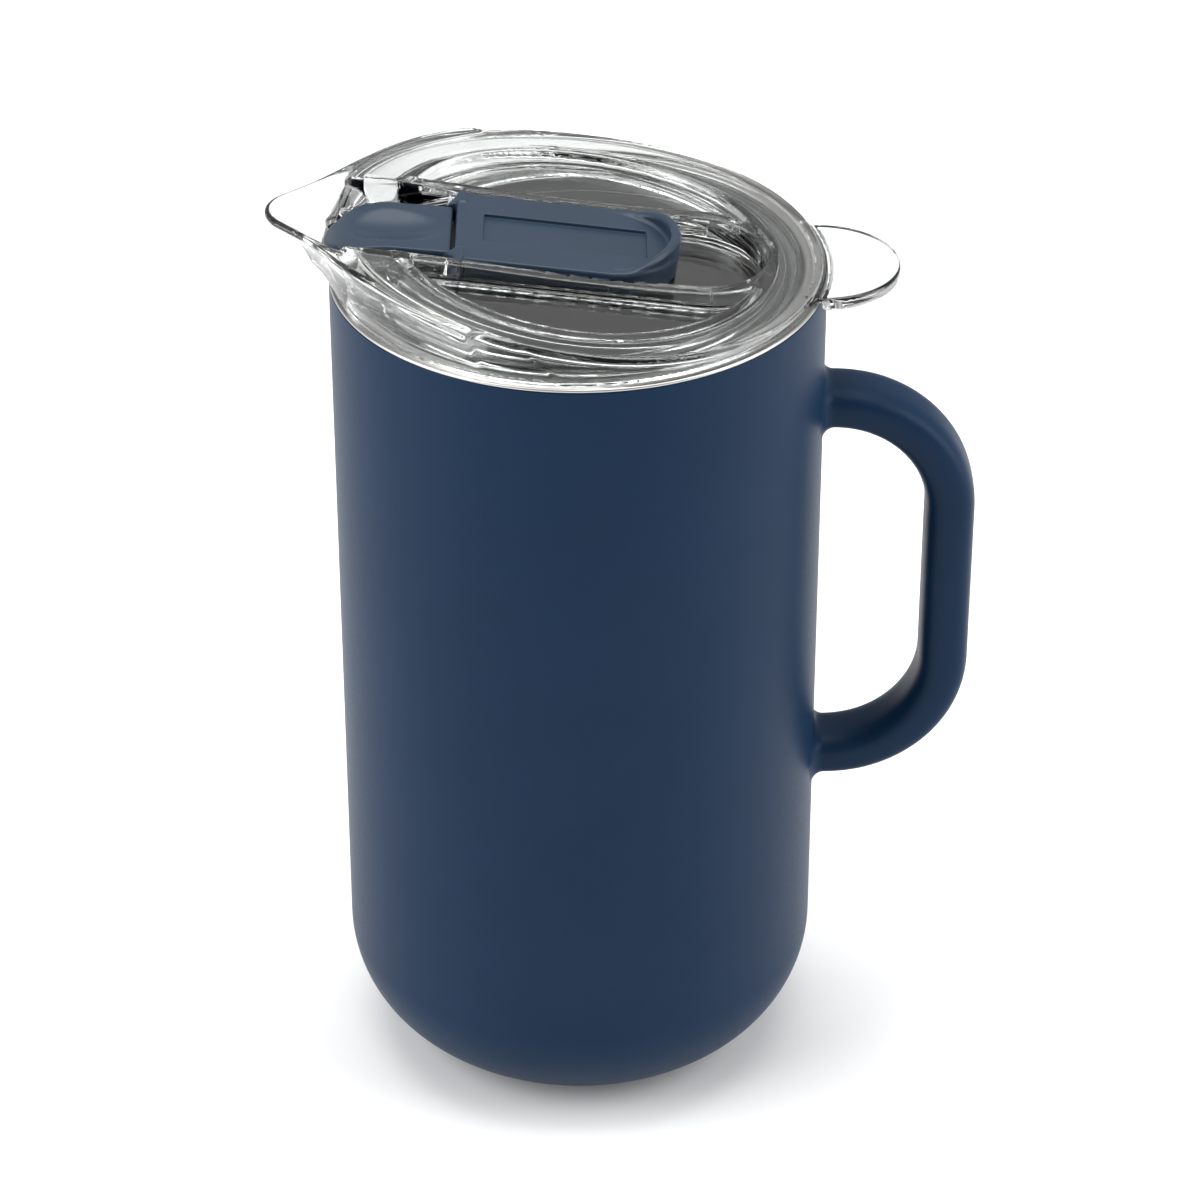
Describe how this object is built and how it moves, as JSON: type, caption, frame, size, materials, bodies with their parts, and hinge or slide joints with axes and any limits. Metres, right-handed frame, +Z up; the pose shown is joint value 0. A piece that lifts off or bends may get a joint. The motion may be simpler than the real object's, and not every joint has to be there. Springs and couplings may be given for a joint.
{
  "type": "insulated water jug",
  "caption": "Tall insulated steel jug with a round bottom, strap handle, clear lift-off lid with spout, thumb tab and a slide closure.",
  "frame": {"origin": "centre of the base, on the surface that the jug stands on", "axes": "+Z up along the body's axis, +X towards the handle, spout towards -X"},
  "size_m": [0.1834, 0.127, 0.2489],
  "materials": {
    "navy_coat": "fine satin powder coat",
    "brushed_steel": "brushed round the axis",
    "solder": "dull bead",
    "getter_metal": "sintered, matte",
    "clear_plastic": "polished clear copolyester",
    "navy_plastic": "satin moulded plastic",
    "black_plastic": "satin moulded plastic",
    "silicone": "soft matte silicone"
  },
  "bodies": {
    "jug": {"outer_shell": "navy_coat", "base_plate": "brushed_steel", "base_cover": "brushed_steel", "inner_liner": "brushed_steel", "vacuum_seal": "solder", "getter": "getter_metal", "getter_clip": "brushed_steel", "handle_left_half": "navy_coat", "handle_right_half": "navy_coat", "handle_upper_plate": "brushed_steel", "handle_lower_plate": "brushed_steel"},
    "lid": {"lid_shell": "clear_plastic", "lid_plug": "clear_plastic", "lid_gasket": "silicone"},
    "slider": {"slider_thumb": "navy_plastic", "slider_flap": "navy_plastic", "slider_base": "black_plastic", "flap_seal": "silicone"}
  },
  "joints": [
    {"name": "lid_lift", "type": "slide", "parent": "jug", "child": "lid", "axis": [0, 0, 1], "range_m": [0, 0.06]},
    {"name": "closure_slide", "type": "slide", "parent": "lid", "child": "slider", "axis": [0.9925, 0, -0.1219], "range_m": [0, 0.021]}
  ]
}
